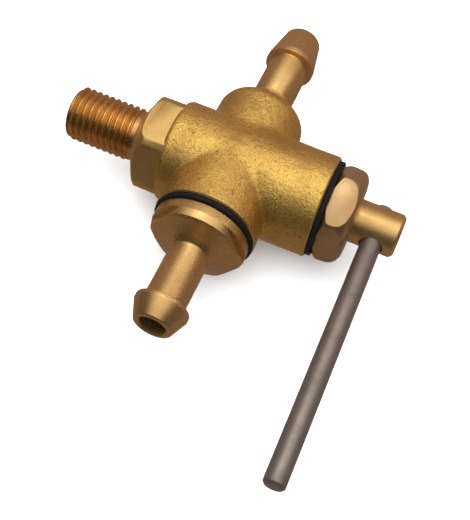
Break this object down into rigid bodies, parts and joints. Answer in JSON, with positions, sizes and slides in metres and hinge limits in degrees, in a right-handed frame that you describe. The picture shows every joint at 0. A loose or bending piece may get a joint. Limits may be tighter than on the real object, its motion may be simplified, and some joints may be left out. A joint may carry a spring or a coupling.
{
  "type": "three-way plug valve",
  "caption": "Brass three-way plug valve with a threaded tank spigot, two barbed hose tails, a gland nut and a cross-rod lever that turns the plug a quarter turn.",
  "frame": {"origin": "on the tank thread's axis, at the hexagon face that seats on the tank", "axes": "+X along the barrel from the tank thread to the spindle, +Y along the branches from the screwed front tail to the cast back tail, +Z square to both"},
  "size_m": [0.0758, 0.1039, 0.0225],
  "materials": {
    "cast_brass": "blasted casting with machined ends",
    "turned_brass": "satin turned",
    "nut_brass": "satin turned",
    "rod_steel": "dull ground",
    "spring_steel": "bright",
    "black_rubber": "matt",
    "white_ptfe": "waxy matt"
  },
  "bodies": {
    "valve_body": {"body": "cast_brass", "gland_nut": "nut_brass", "gland_seal": "black_rubber", "thrust_washer": "white_ptfe", "bottom_washer": "white_ptfe", "tank_disc_spring": "spring_steel", "plug_disc_spring": "spring_steel", "front_connector": "turned_brass", "connector_seal": "black_rubber", "front_seat": "white_ptfe", "back_seat": "white_ptfe", "front_seat_oring": "black_rubber", "back_seat_oring": "black_rubber", "stop_pin": "spring_steel"},
    "turning_plug": {"plug": "turned_brass", "spindle": "turned_brass", "handle_rod": "rod_steel", "spindle_oring_inner": "black_rubber", "spindle_oring_outer": "black_rubber"}
  },
  "joints": [
    {"name": "plug_turn", "type": "hinge", "parent": "valve_body", "child": "turning_plug", "pos_m": [0.0216, 0, 0], "axis": [1, 0, 0], "range_deg": [-90, 0]}
  ]
}
